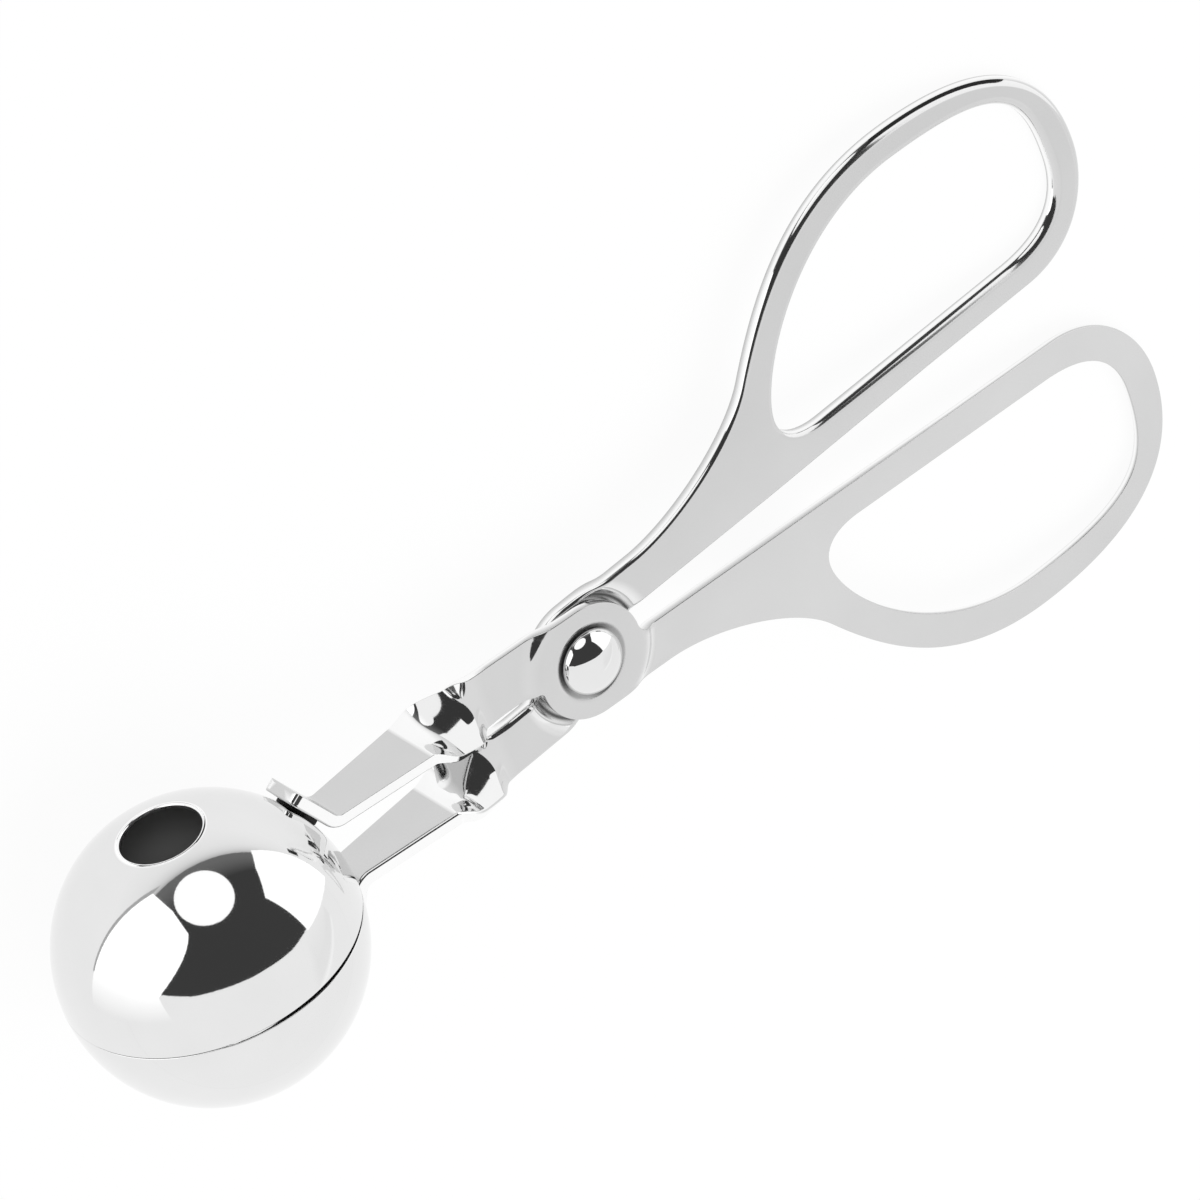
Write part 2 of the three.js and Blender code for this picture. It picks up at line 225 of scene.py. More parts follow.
def bezier(*points):
    p = [np.asarray(q, float) for q in points]
    n = int(sum(np.hypot(*(b - a)) for a, b in zip(p, p[1:])) / CURVE_STEP)
    t = np.linspace(0, 1, n)[:, None]
    return (1 - t) ** 3 * p[0] + 3 * t * (1 - t) ** 2 * p[1] + 3 * t * t * (1 - t) * p[2] + t ** 3 * p[3]


def soft_corner(a, b, c):
    """Short curve from a to c that heads for b."""
    t = np.linspace(0, 1, SOFT_POINTS)[:, None]
    return (1 - t) ** 2 * np.asarray(a) + 2 * t * (1 - t) * np.asarray(b) + t * t * np.asarray(c)


def thin_out(points, closed):
    """Keeps points close together near the pivot and further apart elsewhere."""
    kept = [points[0]]
    for p in points[1:]:
        gap = FINE_GAP if np.hypot(*p) < FINE_REACH else COARSE_GAP
        if np.hypot(*(p - kept[-1])) >= gap:
            kept.append(p)
    if closed:
        if np.hypot(*(kept[-1] - kept[0])) < CLOSING_GAP:
            kept.pop()
    else:
        kept[-1] = points[-1]
    return np.array(kept)


bar_slope = (LOOP_GAP_AT_END - LOOP_GAP_AT_DISC) / 2 / (LOOP_STRAIGHT - DISC_RADIUS)
arm_slope = (ARM_GAP - ARM_GAP_AT_DISC) / 2 / (TWIST_START - DISC_RADIUS)
arm_near = ARM_GAP / 2
arm_far = arm_near + ARM_WIDTH
arm_middle = arm_near + ARM_WIDTH / 2


def bar_edge(x):
    return LOOP_GAP_AT_DISC / 2 + bar_slope * (x - DISC_RADIUS)


def touch_angle(p):
    return math.atan2(p[1], p[0]) + math.acos(DISC_RADIUS / np.hypot(*p))


def notch_centre(edge_at_zero, slope, radius):
    """Middle of a round inside corner that touches the disc and an edge running out from it."""
    along = np.array([1, slope]) / math.hypot(1, slope)
    start = np.array([0, edge_at_zero]) + radius * np.array([along[1], -along[0]])
    back = start @ along
    reach = math.sqrt(back * back - start @ start + (DISC_RADIUS + radius) ** 2)
    return start + along * (reach - back)


def loop_end_curve():
    """Outer edge of the loop from its end to its widest place."""
    return bezier(
        (LOOP_END, LOOP_END_SIDE),
        (LOOP_END, LOOP_END_SIDE + END_HANDLE_AFTER * (LOOP_BOW - LOOP_END_SIDE)),
        (LOOP_BOW_AT + BOW_HANDLE_BEFORE * (LOOP_END - LOOP_BOW_AT), LOOP_BOW),
        (LOOP_BOW_AT, LOOP_BOW),
    )


def lever_outline():
    """Stamped edge from the near side of the arm's cut, round the disc and loop, to the cut's far side."""
    corner = np.array([-TWIST_START, -arm_far])
    shank = np.array([SHANK_AT, SHANK_SIDE])
    shank_touch = touch_angle(shank)
    shank_way = shank - polar(DISC_RADIUS, shank_touch)
    shank_way /= np.hypot(*shank_way)
    neck_way = polar(1, math.radians(NECK_ANGLE))
    notch = notch_centre(bar_edge(0), bar_slope, NOTCH_RADIUS)
    notch_angle = math.atan2(notch[1], notch[0])
    near = -notch_centre(ARM_GAP_AT_DISC / 2 - arm_slope * DISC_RADIUS, arm_slope, ARM_NOTCH_RADIUS)
    near_angle = math.atan2(near[1], near[0]) % (2 * math.pi)
    neck = np.array([NECK_AT, NECK_SIDE])
    end = np.array([LOOP_END, LOOP_END_SIDE])
    straight = np.array([LOOP_STRAIGHT, bar_edge(LOOP_STRAIGHT)])
    run, rise = end - straight
    straight_end = LOOP_STRAIGHT + STRAIGHT_HANDLE * run
    bow_reach = NECK_HANDLE_BEFORE * (LOOP_BOW_AT - NECK_AT)
    neck_reach = NECK_HANDLE_AFTER * (NECK_AT - SHANK_AT)
    loop_turn = math.pi / 2 + math.atan(bar_slope)
    loop_touch = notch + NOTCH_RADIUS * polar(1, loop_turn)
    arm_turn = 1.5 * math.pi + math.atan(arm_slope)
    arm_touch = near + ARM_NOTCH_RADIUS * polar(1, arm_turn)
    path = [
        line(corner, polar(DISC_RADIUS, touch_angle(corner))),
        arc((0, 0), DISC_RADIUS, touch_angle(corner), notch_angle),
        arc(notch, NOTCH_RADIUS, notch_angle + math.pi, loop_turn),
        line(loop_touch, straight),
        bezier(
            straight,
            (straight_end, bar_edge(straight_end)),
            (LOOP_END, LOOP_END_SIDE - END_HANDLE_BEFORE * rise),
            end,
        ),
        loop_end_curve(),
        bezier(
            (LOOP_BOW_AT, LOOP_BOW),
            (LOOP_BOW_AT - BOW_HANDLE_AFTER * (LOOP_BOW_AT - NECK_AT), LOOP_BOW),
            neck + bow_reach * neck_way,
            neck,
        ),
        bezier(neck, neck - neck_reach * neck_way, shank + neck_reach * shank_way, shank),
        line(shank, polar(DISC_RADIUS, shank_touch)),
        arc((0, 0), DISC_RADIUS, shank_touch, near_angle),
        arc(near, ARM_NOTCH_RADIUS, near_angle + math.pi, arm_turn),
        line(arm_touch, (-TWIST_START, -arm_near)),
    ]
    drawn = thin_out(np.vstack(path), closed=False)
    return (drawn * [1, -1])[::-1]


def finger_hole():
    """Rounded D inside the loop, one bar's width in from the outline."""
    def inner(x):
        return bar_edge(x) + LOOP_BAR

    end = LOOP_END - LOOP_BAR
    bow = LOOP_BOW - LOOP_BAR
    flat_end = LOOP_STRAIGHT - HOLE_FLAT_END * LOOP_BAR
    flat_start = LOOP_HOLE_START + HOLE_FLAT_START * LOOP_BAR
    turn_end = flat_end + HOLE_FLAT_HANDLE * (end - flat_end)
    turn_start = flat_start - HOLE_TURN * (flat_start - LOOP_HOLE_START)
    path = [
        line((flat_start, inner(flat_start)), (flat_end, inner(flat_end))),
        bezier(
            (flat_end, inner(flat_end)),
            (turn_end, inner(turn_end)),
            (end, LOOP_END_SIDE - HOLE_END_BEFORE * (LOOP_END_SIDE - inner(flat_end))),
            (end, LOOP_END_SIDE),
        ),
        bezier(
            (end, LOOP_END_SIDE),
            (end, LOOP_END_SIDE + HOLE_END_AFTER * (bow - LOOP_END_SIDE)),
            (LOOP_BOW_AT + HOLE_BOW_BEFORE * (end - LOOP_BOW_AT), bow),
            (LOOP_BOW_AT, bow),
        ),
        bezier(
            (LOOP_BOW_AT, bow),
            (LOOP_BOW_AT - HOLE_BOW_AFTER * (LOOP_BOW_AT - LOOP_HOLE_START), bow),
            (LOOP_HOLE_START, LOOP_HOLE_SIDE + HOLE_NEAR_BEFORE * (bow - LOOP_HOLE_SIDE)),
            (LOOP_HOLE_START, LOOP_HOLE_SIDE),
        ),
        bezier(
            (LOOP_HOLE_START, LOOP_HOLE_SIDE),
            (LOOP_HOLE_START, LOOP_HOLE_SIDE - HOLE_NEAR_AFTER * (LOOP_HOLE_SIDE - inner(LOOP_HOLE_START))),
            (turn_start, inner(turn_start)),
            (flat_start, inner(flat_start)),
        ),
    ]
    return thin_out(np.vstack(path), closed=True) * [1, -1]


# Height of the pressed sheet's two faces by distance from the pivot
disc_low = PIVOT_GAP / 2
disc_high = disc_low + SHEET
step_turn = math.atan2(disc_high - SHEET / 2, STEP_RUN)
step_shift = SHEET * math.tan(step_turn / 2)


def soft_profile(corners):
    """Profile through [radius, height, softening] corners, each soft corner as a short curve."""
    out = []
    for i, (x, y, soft) in enumerate(corners):
        here = np.array([x, y])
        if soft == 0:
            out.append(here)
            continue
        into = np.subtract(corners[i - 1][:2], here)
        onward = np.subtract(corners[i + 1][:2], here)
        a = here + into * soft / np.hypot(*into)
        b = here + onward * soft / np.hypot(*onward)
        out.extend(soft_corner(a, here, b))
    return np.array(out)


bore = SHANK_RADIUS + SHANK_GAP
TOP_FACE = soft_profile([
    (bore, disc_high - DISH_DEPTH, 0),
    (DISH_RADIUS - DISH_SLOPE, disc_high - DISH_DEPTH, DISH_ROUND),
    (DISH_RADIUS, disc_high, DISH_ROUND),
    (STEP_START, disc_high, STEP_ROUND),
    (STEP_START + STEP_RUN, SHEET / 2, STEP_ROUND),
    (PROFILE_END, SHEET / 2, 0),
])
LOW_FACE = soft_profile([
    (bore, disc_low, 0),
    (STEP_START - step_shift, disc_low, STEP_ROUND),
    (STEP_START - step_shift + STEP_RUN, -SHEET / 2, STEP_ROUND),
    (PROFILE_END, -SHEET / 2, 0),
])


def face_height(profile, xy):
    return np.interp(np.hypot(xy[:, 0], xy[:, 1]), profile[:, 0], profile[:, 1])


def face_normal(profile, xy, side):
    """Normals of the pressed face: side is 1 for the upper face and -1 for the lower."""
    r = np.hypot(xy[:, 0], xy[:, 1])
    h = 0.02
    slope = (np.interp(r + h, *profile.T) - np.interp(r - h, *profile.T)) / (2 * h)
    n = np.column_stack([-slope * xy[:, 0] / r, -slope * xy[:, 1] / r, np.ones(len(r))])
    return side * n / np.linalg.norm(n, axis=1)[:, None]


def inward(points, closed):
    """Unit normals to the left of a path, which is where the metal is."""
    if closed:
        way = np.roll(points, -1, 0) - np.roll(points, 1, 0)
    else:
        way = np.gradient(points, axis=0)
    way /= np.linalg.norm(way, axis=1)[:, None]
    return np.column_stack([-way[:, 1], way[:, 0]])


def inside(points, polygon):
    """Even-odd test of points against a closed polygon."""
    a, b = polygon, np.roll(polygon, -1, 0)
    x, y = points[:, 0, None], points[:, 1, None]
    spans = (a[:, 1] > y) != (b[:, 1] > y)
    with np.errstate(divide="ignore", invalid="ignore"):
        cross = a[:, 0] + (y - a[:, 1]) * (b[:, 0] - a[:, 0]) / (b[:, 1] - a[:, 1])
    return (spans & (x < cross)).sum(1) % 2 == 1


def smooth(u):
    u = min(1.0, max(0.0, u))
    return u * u * (3 - 2 * u)


def twist_turn(distance):
    """Turn of the sheet along the twist: sharp at the tool's first jaw, then steady, then to the end."""
    steady = 90 - KINK_TURN - END_KINK_TURN
    past = max(0.0, distance - KINK_AT)
    eased = past * past / (2 * KINK_LENGTH) if past < KINK_LENGTH else past - KINK_LENGTH / 2
    return math.radians(
        steady * eased / (TWIST_LENGTH - KINK_AT - KINK_LENGTH / 2)
        + KINK_TURN * smooth(past / KINK_LENGTH)
        + END_KINK_TURN * smooth((distance - TWIST_LENGTH + END_KINK_LENGTH) / END_KINK_LENGTH)
    )


ANGLES = np.linspace(math.pi / 2, 0, EDGE_STEPS + 1)


def roll_at(points):
    """Rounding of the lower edges by place along the lever."""
    return np.interp(points[:, 0], ROLL_PLACES, [ARM_ROLL, SHANK_ROLL, SHANK_ROLL, LOOP_ROLL])


def rounded_corner(half_width, half_sheet, soft):
    """Corner of the strip's section from face to side: across, through, the two parts of the normal."""
    across = half_width - soft
    through = half_sheet - soft
    return [
        (across + soft * math.cos(a), through + soft * math.sin(a), math.cos(a), math.sin(a)) for a in ANGLES
    ]


def section(half_width, half_sheet, inset, roll):
    """Strip section, crisp edges above and rolled below.

    Each row is across, through, the two parts of the outward normal, and 1 on the wall beside the crisp edge,
    which takes painted shade.
    """
    rolled = STRIP_ROLL + roll * (ARM_ROLL - STRIP_ROLL) - inset
    flat = np.linspace(-1, 1, CUT_COUNT) * (half_width - rolled)
    high = rounded_corner(half_width, half_sheet, max(CRISP - inset, LEAST_ROUND))
    low = rounded_corner(half_width, half_sheet, rolled)
    rows = [(w, half_sheet, 0, 1, 0) for w in flat]
    rows += [(w, s, n, m, 1) for w, s, n, m in high]
    rows += [(w, -s, n, -m, 0) for w, s, n, m in low[:0:-1]]
    rows += [(w, -half_sheet, 0, -1, 0) for w in flat[::-1]]
    rows += [(-w, -s, -n, -m, 0) for w, s, n, m in low[1:]]
    rows += [(-w, s, -n, m, 1) for w, s, n, m in high[::-1]]
    return np.array(rows)


def arm_stations(hand):
    """Stations along the arm past the cut.

    Each is the middle, width, turn, direction, end inset and how far the end has turned.
    """
    out = []
    for i in range(TWIST_STATIONS + 1):
        u = i / TWIST_STATIONS
        width = ARM_WIDTH + (STRIP_WIDTH - ARM_WIDTH) * smooth(u)
        past = u * TWIST_LENGTH - KINK_AT
        fading = 1 - max(0.0, (past - KINK_LENGTH) / (TWIST_LENGTH - KINK_AT - KINK_LENGTH))
        pressed = (-KINK_DROP if hand > 0 else KINK_LIFT) * smooth(past / KINK_LENGTH) * fading
        side = arm_middle + (STRIP_SIDE - arm_middle) * smooth(u)
        at = (-TWIST_START - u * TWIST_LENGTH, side + pressed, 0)
        out.append((at, width, twist_turn(u * TWIST_LENGTH), (-1, 0), 0, 0))
    tilt = math.radians(FLANGE_TILT)
    outward = polar(1, tilt)
    climb = np.array([-outward[1], outward[0]])
    foot = outward * (BALL_RADIUS + SEAT_GAP + SHEET / 2) + [-BALL_REACH, 0]
    corner = foot + climb * (STRIP_SIDE - foot[1]) / climb[1]
    bend = math.pi / 2 - tilt
    bend_x = corner[0] + BEND_RADIUS * math.tan(bend / 2)
    strip_end = -TWIST_START - TWIST_LENGTH
    for u in np.linspace(0, 1, STRIP_STATIONS)[1:-1]:
        width = STRIP_WIDTH + (FLANGE_WIDTH - STRIP_WIDTH) * u
        at = (strip_end + (bend_x - strip_end) * u, STRIP_SIDE, 0)
        out.append((at, width, math.pi / 2, (-1, 0), 0, 0))
    for a in np.linspace(0, bend, BEND_STATIONS):
        way = (-math.cos(a), math.sin(a))
        at = (bend_x - BEND_RADIUS * math.sin(a), STRIP_SIDE + BEND_RADIUS * (1 - math.cos(a)), 0)
        out.append((at, FLANGE_WIDTH, math.pi / 2, way, 0, 0))
    last = foot + climb * FLANGE_PAST
    for a in np.linspace(0, math.pi / 2, END_STATIONS):
        short = FLANGE_CORNER * (1 - math.sin(a))
        width = FLANGE_WIDTH - 2 * FLANGE_CORNER * (1 - math.cos(a))
        over = max(0.0, 1 - short / END_ROUND)
        inset = END_ROUND * (1 - math.sqrt(max(0.0, 1 - over * over)))
        at = last - climb * short
        out.append(((*at, 0), width, math.pi / 2, tuple(climb), inset, math.asin(over)))
    return out


def station_points(station):
    middle, width, turn, way, inset, _ = station
    side = np.array([way[1], -way[0], 0])
    up = np.array([0, 0, 1])
    across = side * math.cos(turn) - up * math.sin(turn)
    through = side * math.sin(turn) + up * math.cos(turn)
    roll = 1 - smooth((-middle[0] - TWIST_START) / (ROLL_FADE * TWIST_LENGTH))
    s = section(width / 2 - inset, SHEET / 2 - inset, inset, roll)
    points = np.array(middle) + s[:, :1] * across + s[:, 1:2] * through
    outward = s[:, 2:3] * across + s[:, 3:4] * through
    round_it = -s[:, 3:4] * across + s[:, 2:3] * through
    return points, outward, round_it, np.abs(s[:, 2]), s[:, 4]


def ramp(value, run):
    """0 to 1 as a value goes from 0 to the run."""
    return np.clip(value / run, 0, 1)


def tumbled(lean):
    """How bright an edge has been tumbled by how far its normal leans out of the sheet."""
    return ramp(lean - TUMBLED_FROM, TUMBLED_RUN)


def edge_finish(lean, shaded_wall):
    """How smooth, how bright and how dark an edge is: the marked wall beside the crisp edge takes painted
    shade and is not rubbed or tumbled.
    """
    rubbed = ramp(lean - RUBBED_FROM, RUBBED_RUN)
    return (1 - shaded_wall) * rubbed, (1 - shaded_wall) * tumbled(lean), EDGE_SHADE * shaded_wall * tumbled(lean)


def band(p, q, closed=True):
    """Faces between two rows of points."""
    n = len(p)
    return [(p[i], p[(i + 1) % n], q[(i + 1) % n], q[i]) for i in range(n if closed else n - 1)]


def circle(radius, count):
    a = np.linspace(0, 2 * math.pi, count, endpoint=False)
    return radius * np.column_stack([np.cos(a), np.sin(a)])


def flat_sheet(outer_loop, hole_ring, bore_loop, ring):
    """Plan of the sheet between its loops, with extra points where the face is curved.

    Gives the points, the triangles, and where each point of the loops went.
    """
    radii = np.concatenate([np.arange(*DISH_RINGS), np.arange(*STEP_RINGS)])
    extra = np.vstack([circle(r, int(2 * math.pi * r / RING_SPACING)) for r in radii])
    extra = extra[inside(extra, outer_loop)]
    near = np.linalg.norm(extra[:, None] - ring[None, np.hypot(*ring.T) < RING_REACH], axis=2).min(1)
    extra = extra[near > RING_CLEARANCE]
    edges, start = [], 0
    for loop in (outer_loop, hole_ring, bore_loop):
        n = len(loop)
        edges += [(start + i, start + (i + 1) % n) for i in range(n)]
        start += n
    plane = np.vstack([outer_loop, hole_ring, bore_loop, extra])
    made, _, faces, origin, _, _ = delaunay_2d_cdt([Vector(p) for p in plane], edges, [], 1, 1e-6)
    made = np.array([tuple(v) for v in made])
    where = {o: i for i, from_points in enumerate(origin) for o in from_points}
    triangles = np.array(faces)
    middle = made[triangles].mean(1)
    keep = inside(middle, outer_loop) & ~inside(middle, hole_ring) & ~inside(middle, bore_loop)
    return made, triangles[keep], where


def lever_mesh(name, hand):
    """One pressing: flat sheet with stamped edges and pressed step, then twisted arm, strip and flange.

    The twisting tool works from the side that shows, so hand is 1 on the front lever and -1 on the back one.
    """
    outer = lever_outline()
    outer_in = inward(outer, closed=False)
    outer_in[0] = (0, 1)
    outer_in[-1] = (0, -1)
    hole = finger_hole()
    hole_in = inward(hole, closed=True)
    ring = outer + roll_at(outer)[:, None] * outer_in
    hole_ring = hole + roll_at(hole)[:, None] * hole_in
    cut = np.linspace(ring[-1], ring[0], CUT_COUNT)[1:-1]
    outer_loop = np.vstack([ring, cut])
    made, flat, where = flat_sheet(outer_loop, hole_ring, circle(bore, BORE_POINTS), ring)
    count = len(made)
    points, normals, polish, edge, coined = [], [], [], [], []

    def add_row(at, normal, smoothed, brightened, darkened):
        """Adds points with their normals and finishes, and gives their numbers."""
        start = sum(len(p) for p in points)
        points.append(at)
        normals.append(normal)
        polish.append(np.broadcast_to(smoothed, len(at)))
        edge.append(np.broadcast_to(brightened, len(at)))
        coined.append(np.broadcast_to(darkened, len(at)))
        return np.arange(start, start + len(at))

    # Two faces: a painted highlight on the pressed step, painted shade in the dish under the rivet head and
    # painted shade in the crevice round the disc
    radius = np.hypot(*made.T)
    stepped = ramp(STEP_RUN - np.abs(radius - STEP_START - STEP_RUN / 2), STEP_RUN)
    step_bright = STEP_BRIGHT * stepped
    dish = ramp(DISH_RADIUS - radius, DISH_FADE)
    crevice = ramp(CREVICE_HALF - np.abs(radius - DISC_RADIUS - CREVICE_OUT), CREVICE_HALF)
    for profile, side, bright, painted_dark in (
        (TOP_FACE, 1, step_bright * ramp(made[:, 0], STEP_BRIGHT_RUN), dish),
        (LOW_FACE, -1, step_bright, CREVICE_DARK * crevice),
    ):
        at = np.column_stack([made, face_height(profile, made)])
        add_row(at, face_normal(profile, made, side), stepped, bright, painted_dark)
    triangles = [tuple(t) for t in flat] + [tuple(t[::-1] + count) for t in flat]
    quads = []

    # Rounded edge and wall round the outline and the finger hole
    rims = []
    for path, way, offset, closed in ((outer, outer_in, 0, False), (hole, hole_in, len(outer_loop), True)):
        inner = np.array([where[offset + i] for i in range(len(path))])
        rows = [inner]
        for side, profile, soft, turns, shaded_wall in (
            (1, TOP_FACE, np.full(len(path), CRISP), ANGLES, 1),
            (-1, LOW_FACE, roll_at(path), ANGLES[1:], 0),
        ):
            stack = []
            for a in turns:
                xy = path + way * soft[:, None] * (1 - math.cos(a))
                z = face_height(profile, xy) - side * soft * (1 - math.sin(a))
                n = face_normal(profile, xy, side) * math.sin(a)
                n[:, :2] -= way * math.cos(a)
                n /= np.linalg.norm(n, axis=1)[:, None]
                stack.append(add_row(np.column_stack([xy, z]), n, *edge_finish(math.cos(a), shaded_wall)))
            rows += stack if side == 1 else stack[::-1]
        rows.append(inner + count)
        for p, q in zip(rows, rows[1:]):
            quads += band(p, q, closed)
        rims.append(rows)

    # Bore wall, hidden by the rivet
    wall = np.array([where[len(outer_loop) + len(hole_ring) + i] for i in range(BORE_POINTS)])
    quads += band(wall, wall + count)

    # Twisted arm, strip and flange, carried on from the cut's own points
    rows = rims[0]
    cut_index = [where[len(ring) + i] for i in range(len(cut))][::-1]
    first = [rows[0][0], *cut_index, rows[0][-1]]
    first += [r[-1] for r in rows[1:-1]]
    first += [rows[-1][-1], *[i + count for i in cut_index[::-1]], rows[-1][0]]
    first += [r[0] for r in rows[-2:0:-1]]
    stations = arm_stations(hand)
    grids = [station_points(s) for s in stations]
    grid = np.array([g[0] for g in grids])
    travel = np.gradient(grid, axis=0)
    previous = np.array(first)
    for k in range(1, len(stations)):
        _, outward, round_it, lean, shaded_wall = grids[k]
        at, _, _, way, inset, turned = stations[k]
        if inset > 0:
            n = outward * math.cos(turned) + np.array([*way, 0]) * math.sin(turned)
        else:
            n = np.cross(round_it, travel[k])
            n *= np.sign((n * outward).sum(1))[:, None]
            n /= np.linalg.norm(n, axis=1)[:, None]
        u = (-at[0] - TWIST_START) / TWIST_LENGTH
        smoothed, brightened, darkened = edge_finish(lean, shaded_wall * (1 - ramp(u, EDGE_SHADE_END)))
        if k <= TWIST_STATIONS:
            smoothed = np.maximum(smoothed, ramp(u - TWIST_RUB_FROM, TWIST_RUB_RUN))
            # Near the twist's end the bright edge tone is a painted highlight
            brightened = np.maximum(brightened, ramp(u - TWIST_HIGHLIGHT_FROM, TWIST_RUB_RUN))
        now = add_row(grid[k], n, smoothed, brightened, darkened)
        quads += band(previous, now)
        previous = now
    cap = tuple(previous)

    mesh = bpy.data.meshes.new(name)
    mesh.from_pydata(np.vstack(points).tolist(), [], [*triangles, *quads, cap])
    mark(mesh, polish=polish, edge=edge, coined=coined)
    return finish_mesh(mesh, np.vstack(normals))


def mark(mesh, **values):
    """Keeps finishes by point: polish is smooth, edge is tumbled bright on the edges and a painted highlight
    on the step, the twist's end and the vents' rims, and the last mark is painted shade.
    """
    for name, parts in values.items():
        marks = mesh.attributes.new(name, "FLOAT", "POINT")
        marks.data.foreach_set("value", np.concatenate(parts).astype(np.float32))


def finish_mesh(mesh, normals):
    """Turns the faces outward, shades them smooth and sets the exact normals."""
    bm = bmesh.new()
    bm.from_mesh(mesh)
    bmesh.ops.recalc_face_normals(bm, faces=bm.faces)
    if bm.calc_volume(signed=True) < 0:
        bmesh.ops.reverse_faces(bm, faces=bm.faces)
    bm.to_mesh(mesh)
    bm.free()
    mesh.polygons.foreach_set("use_smooth", [True] * len(mesh.polygons))
    mesh.normals_split_custom_set_from_vertices([tuple(n) for n in normals])
    return mesh


def spun_mesh(name, profile, normals, turns, polish=None, edge=None):
    """Body of revolution about Z from a profile of radius and height, closed or ending on the axis."""
    points, out, faces, rows, origin = [], [], [], [], []
    for k, ((r, z), (nr, nz)) in enumerate(zip(profile, normals)):
        if r < 1e-9:
            rows.append([len(points)] * turns)
            points.append((0, 0, z))
            out.append((0, 0, nz))
            origin.append(k)
            continue
        rows.append(list(range(len(points), len(points) + turns)))
        for i in range(turns):
            a = 2 * math.pi * i / turns
            points.append((r * math.cos(a), r * math.sin(a), z))
            out.append((nr * math.cos(a), nr * math.sin(a), nz))
            origin.append(k)
    ring = rows if profile[0][0] < 1e-9 else [*rows, rows[0]]
    for p, q in zip(ring, ring[1:]):
        for i in range(turns):
            j = (i + 1) % turns
            corners = []
            for v in (p[i], p[j], q[j], q[i]):
                if v not in corners:
                    corners.append(v)
            faces.append(corners)
    mesh = bpy.data.meshes.new(name)
    mesh.from_pydata(points, [], faces)
    polish = np.ones(len(profile)) if polish is None else np.array(polish)
    edge = np.zeros(len(profile)) if edge is None else np.array(edge)
    mark(mesh, polish=[polish[origin]], edge=[edge[origin]])
    return finish_mesh(mesh, np.array(out, float))


def cup_mesh(name, side):
    """Thin half ball with softly broken edges, opening toward -Z here.

    The side is 1 for the upper cup and -1 for the lower.
    """
    inner = BALL_RADIUS - CUP_WALL
    rim, vent = CUP_RIM_ROUND, CUP_VENT_ROUND
    rim_out = math.asin((CUP_MEET + rim) / (BALL_RADIUS - rim))
    rim_in = math.asin((CUP_MEET + rim) / (inner + rim))
    vent_out = math.acos((VENT_RADIUS + vent) / (BALL_RADIUS - vent))
    vent_in = math.acos((VENT_RADIUS + rim) / (inner + rim))
    middle = np.zeros(2)
    rows = []

    def bend(centre, radius, angles, polished, bright, facing=1):
        for a in angles:
            rows.append((centre + radius * polar(1, a), facing * polar(1, a), polished, bright))

    bend(middle, BALL_RADIUS, np.linspace(rim_out, vent_out - 0.02, 70), 1.0, 0.0)
    # Painted highlight: the vent's rounded rim takes the bright edge tone
    bend(middle, BALL_RADIUS, (vent_out - 0.012, vent_out), 1.0, 1.0)
    bend(polar(BALL_RADIUS - vent, vent_out), vent, np.linspace(vent_out, math.pi, 8), 1.0, 1.0)
    # Inside, the darker unpolished tone is painted shade
    bend(polar(inner + rim, vent_in), rim, np.linspace(math.pi, math.pi + vent_in, 5), 0.0, 0.0)
    bend(middle, inner, np.linspace(vent_in, rim_in, 60)[1:], 0.0, 0.0, facing=-1)
    bend(polar(inner + rim, rim_in), rim, np.linspace(math.pi + rim_in, 1.5 * math.pi, 5), 1.0, 0.0)
    last_turn = np.linspace(1.5 * math.pi, 2 * math.pi + rim_out, 6)[:-1]
    bend(polar(BALL_RADIUS - rim, rim_out), rim, last_turn, 1.0, 0.0)
    profile, normals, polish, edge = zip(*rows)
    mesh = spun_mesh(name, profile, normals, 192, polish, edge)
    for v in mesh.vertices:
        around = math.degrees(math.atan2(-side * v.co.y, v.co.x))
        share = max(0.0, 1 - v.co.z / RELIEF_HEIGHT) ** 2
        share *= smooth((around - RELIEF_START) / RELIEF_START_RUN)
        share *= smooth((RELIEF_END - around) / RELIEF_END_RUN)
        peak = math.exp(-((around - RELIEF_PEAK) / RELIEF_SPREAD) ** 2)
        v.co.z += CUP_RELIEF * share * (RELIEF_LEAST + (1 - RELIEF_LEAST) * peak)
    return mesh


def rivet_mesh(name):
    """Rivet with a domed head at both ends."""
    under = disc_high - DISH_DEPTH + SEAT_GAP
    skirt = under + HEAD_SKIRT
    rows = []
    for a in np.linspace(0, 0.49 * math.pi, 64):
        q = math.sin(a)
        slope = 2 * HEAD_FULLNESS * q * (1 - q * q) ** (HEAD_FULLNESS - 1) * HEAD_DOME / HEAD_RADIUS
        at = np.array([HEAD_RADIUS * q, skirt + HEAD_DOME * (1 - q * q) ** HEAD_FULLNESS])
        rows.append((at, np.array([slope, 1]) / math.hypot(slope, 1)))
    lip, bevel = 0.14, 0.1
    for a in np.linspace(0, -math.pi / 2, 7):
        rows.append((np.array([HEAD_RADIUS - lip, under + lip]) + lip * polar(1, a), polar(1, a)))
    rows.append((np.array([SHANK_RADIUS + bevel, under]), np.array([0, -1])))
    rows.append((np.array([SHANK_RADIUS, under - bevel]), np.array([1, 0])))
    rows += [(p * [1, -1], n * [1, -1]) for p, n in rows[::-1]]
    profile, normals = zip(*rows)
    return spun_mesh(name, profile, normals, 128)


def square_off(v):
    """Bows a circle's sine or cosine out toward a square."""
    return math.copysign(abs(v) ** 0.5, v)


